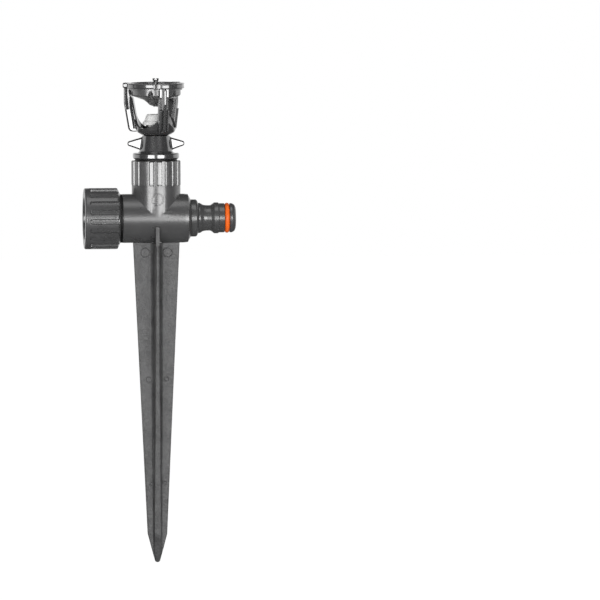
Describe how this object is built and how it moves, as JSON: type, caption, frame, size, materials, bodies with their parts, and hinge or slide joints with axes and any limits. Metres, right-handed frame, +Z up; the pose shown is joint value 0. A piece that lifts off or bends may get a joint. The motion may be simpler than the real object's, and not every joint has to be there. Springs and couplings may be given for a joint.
{
  "type": "gear-drive sprinkler",
  "caption": "Garden sprinkler on a ground spike: a water-driven geared head turns a caged deflector above a tee with a hose nipple and a screw end cap.",
  "frame": {"origin": "on the spike's axis, on the top edge of the spike's wings, which is ground level in use", "axes": "+Z up along the spike and the turning head, +X out of the hose nipple, -Y the front"},
  "size_m": [0.086, 0.0358, 0.2749],
  "materials": {
    "satin_grey": "satin moulded, fine grain",
    "gloss_grey": "polished moulding",
    "ring_grey": "grained gloss",
    "lid_grey": "matt, speckled grain",
    "orange_rubber": "satin",
    "black_rubber": "satin",
    "pale_plastic": "satin",
    "bush_plastic": "filled bearing grade",
    "steel": "ground"
  },
  "bodies": {
    "base": {"ground_spike": "satin_grey", "tee_body": "satin_grey", "hose_nipple": "satin_grey", "nipple_seal": "black_rubber", "nipple_o_ring": "orange_rubber", "head_collar": "gloss_grey", "collar_gasket": "black_rubber", "head_base": "gloss_grey", "inlet_filter": "pale_plastic", "stator_plate": "pale_plastic", "gear_housing": "pale_plastic", "gear_pin": "steel", "gear_plate": "pale_plastic", "stem_seal": "black_rubber", "stem_bush": "bush_plastic"},
    "turning_head": {"cage": "gloss_grey", "nozzle": "pale_plastic", "top_ring": "ring_grey", "deflector": "gloss_grey", "deflector_lid": "lid_grey", "drive_stem": "pale_plastic", "output_gear": "pale_plastic", "thrust_washer": "steel"},
    "turbine": {"turbine_wheel": "pale_plastic", "turbine_shaft": "steel"},
    "gear_1": {"compound_gear_1": "pale_plastic"},
    "gear_2": {"compound_gear_2": "pale_plastic"},
    "gear_3": {"compound_gear_3": "pale_plastic"},
    "cap_carriage": {"cap_seal_ring": "black_rubber"},
    "cap": {"end_cap": "satin_grey"},
    "screw_carriage": {"screw_o_ring": "black_rubber"},
    "screw": {"adjust_screw": "gloss_grey"}
  },
  "joints": [
    {"name": "head_spin", "type": "hinge", "parent": "base", "child": "turning_head", "pos_m": [0, 0, 0.06], "axis": [0, 0, 1], "continuous": true},
    {"name": "turbine_spin", "type": "hinge", "parent": "base", "child": "turbine", "pos_m": [0, 0, 0.033], "axis": [0, 0, 1], "continuous": true},
    {"name": "gear_1_spin", "type": "hinge", "parent": "base", "child": "gear_1", "pos_m": [0, 0.00477, 0.0385], "axis": [0, 0, 1], "continuous": true},
    {"name": "gear_2_spin", "type": "hinge", "parent": "base", "child": "gear_2", "pos_m": [0, 0, 0.0405], "axis": [0, 0, 1], "continuous": true},
    {"name": "gear_3_spin", "type": "hinge", "parent": "base", "child": "gear_3", "pos_m": [0, 0.00477, 0.0425], "axis": [0, 0, 1], "continuous": true},
    {"name": "cap_travel", "type": "slide", "parent": "base", "child": "cap_carriage", "axis": [-1, 0, 0], "range_m": [0, 0.0109]},
    {"name": "cap_turn", "type": "hinge", "parent": "cap_carriage", "child": "cap", "pos_m": [-0.03, 0, 0.0141], "axis": [-1, 0, 0], "range_deg": [0, 2160]},
    {"name": "screw_travel", "type": "slide", "parent": "turning_head", "child": "screw_carriage", "axis": [0, 0, -1], "range_m": [0, 0.0021]},
    {"name": "screw_turn", "type": "hinge", "parent": "screw_carriage", "child": "screw", "pos_m": [0, 0, 0.09], "axis": [0, 0, -1], "range_deg": [0, 1080]}
  ],
  "couplings": [
    {"joint": "gear_3_spin", "follows": "head_spin", "ratio": -3},
    {"joint": "gear_2_spin", "follows": "head_spin", "ratio": 9},
    {"joint": "gear_1_spin", "follows": "head_spin", "ratio": -27},
    {"joint": "turbine_spin", "follows": "head_spin", "ratio": 81},
    {"joint": "cap_turn", "follows": "cap_travel", "rad_per_m": 3458.6},
    {"joint": "screw_turn", "follows": "screw_travel", "rad_per_m": 8976}
  ]
}
